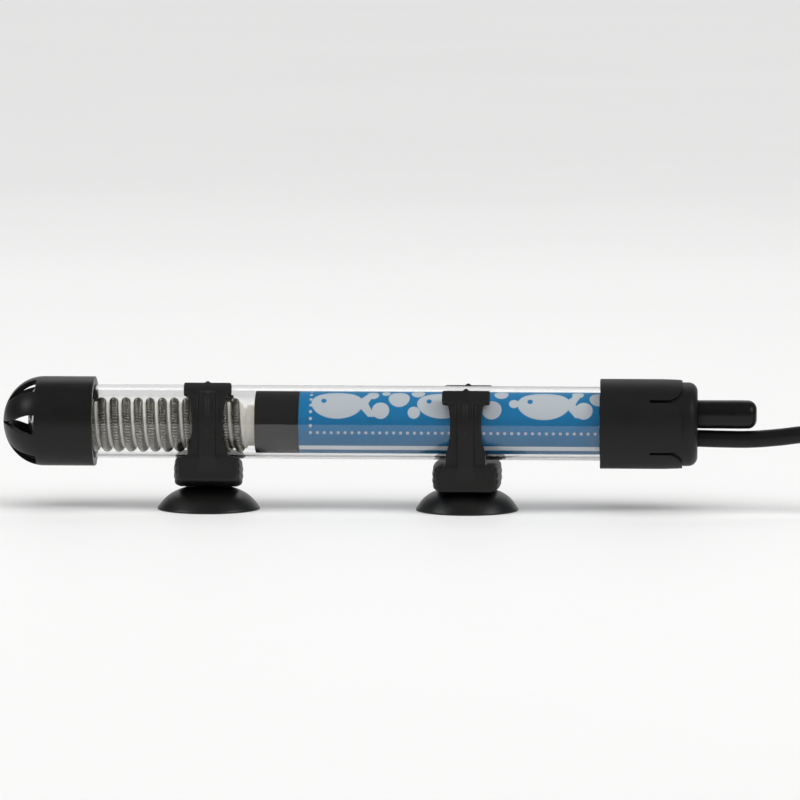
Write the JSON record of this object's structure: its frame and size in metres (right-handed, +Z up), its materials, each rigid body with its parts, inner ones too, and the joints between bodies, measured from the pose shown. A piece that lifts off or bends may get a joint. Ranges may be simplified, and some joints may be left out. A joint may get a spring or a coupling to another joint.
{
  "type": "submersible aquarium heater",
  "caption": "Glass-tube submersible aquarium heater with slotted end guard, visible ceramic coil, thermostat knob, mains cord and two clips with suction cups.",
  "frame": {"origin": "on the surface that the heater stands on, under the middle of its length from guard to knob", "axes": "+X along the glass tube towards the knob and cord, +Z up, +Y away from the side that faces the viewer"},
  "size_m": [0.4327, 0.0504, 0.0431],
  "materials": {
    "glass": "clear polished borosilicate",
    "guard_plastic": "black moulded plastic, satin",
    "collar_plastic": "black moulded plastic, fine matt texture",
    "clip_plastic": "black soft moulded plastic, fine matt texture",
    "bung_rubber": "black moulded rubber, satin",
    "cup_rubber": "black soft rubber, slightly shiny",
    "knob_plastic": "black moulded plastic, half gloss",
    "cord_rubber": "black extruded sheath, satin",
    "plug_plastic": "black moulded plug, satin",
    "pin_metal": "nickel-plated brass",
    "ceramic": "unglazed cream ceramic",
    "coil_wire": "oxidised resistance wire",
    "mica": "pressed mica",
    "wool": "white mineral wool",
    "sleeve": "black fibre sleeve",
    "label": "printed sheet, blue with pale bubbles and dotted rules",
    "board": "brown phenolic board",
    "insulator": "steatite",
    "brass": "turned brass",
    "steel": "bright steel",
    "bimetal": "rolled bimetal",
    "silver": "silver",
    "magnet": "sintered magnet",
    "core_insulation": "insulated copper wire"
  },
  "bodies": {
    "heater": {"glass_tube": "glass", "end_guard": "guard_plastic", "wool_pad": "wool", "ceramic_core": "ceramic", "heating_coil": "coil_wire", "core_end_discs": "mica", "heat_sleeve": "sleeve", "label_sheet": "label", "lead_wires": "steel", "mounting_board": "board", "clamp_spacers": "insulator", "clamp_rivets": "brass", "snap_magnet": "magnet", "spindle_seals": "bung_rubber", "sealing_bung": "bung_rubber", "head_collar": "collar_plastic", "cord_cores": "core_insulation", "crimp_terminals": "silver", "power_cord": "cord_rubber", "cord_hank": "cord_rubber", "hank_tie": "plug_plastic", "plug_body": "plug_plastic", "plug_pins": "pin_metal"},
    "knob": {"temperature_knob": "knob_plastic", "adjusting_spindle": "steel"},
    "nut": {"adjusting_nut": "brass"},
    "arm": {"contact_arm": "brass", "fixed_contact": "silver"},
    "strip": {"bimetal_strip": "bimetal", "moving_contact": "silver"},
    "left_clip_body": {"left_clip": "clip_plastic"},
    "right_clip_body": {"right_clip": "clip_plastic"},
    "left_cup_body": {"left_suction_cup": "cup_rubber"},
    "right_cup_body": {"right_suction_cup": "cup_rubber"}
  },
  "joints": [
    {"name": "knob_turn", "type": "hinge", "parent": "heater", "child": "knob", "pos_m": [0.11, 0, 0.03175], "axis": [1, 0, 0], "range_deg": [-150, 150]},
    {"name": "nut_travel", "type": "slide", "parent": "heater", "child": "nut", "axis": [1, 0, 0], "range_m": [-0.000208, 0.000208]},
    {"name": "arm_bend", "type": "hinge", "parent": "heater", "child": "arm", "pos_m": [-0.00645, 0, 0.0285], "axis": [0, 1, 0], "range_deg": [-0.3, 0.3]},
    {"name": "strip_bend", "type": "hinge", "parent": "heater", "child": "strip", "pos_m": [-0.00645, 0, 0.024], "axis": [0, 1, 0], "range_deg": [-0.9, 0.6], "stiffness_Nm_per_rad": 0.05},
    {"name": "left_clip_slide", "type": "slide", "parent": "heater", "child": "left_clip_body", "axis": [1, 0, 0], "range_m": [-0.025, 0.022]},
    {"name": "right_clip_slide", "type": "slide", "parent": "heater", "child": "right_clip_body", "axis": [1, 0, 0], "range_m": [-0.022, 0.03]},
    {"name": "left_cup_swivel", "type": "hinge", "parent": "left_clip_body", "child": "left_cup_body", "pos_m": [-0.0557, 0, 0.005], "axis": [0, 0, 1], "continuous": true},
    {"name": "right_cup_swivel", "type": "hinge", "parent": "right_clip_body", "child": "right_cup_body", "pos_m": [0.0287, 0, 0.005], "axis": [0, 0, 1], "continuous": true}
  ],
  "couplings": [
    {"joint": "knob_turn", "follows": "nut_travel", "rad_per_m": 12566},
    {"joint": "arm_bend", "follows": "nut_travel", "rad_per_m": 16.336}
  ]
}
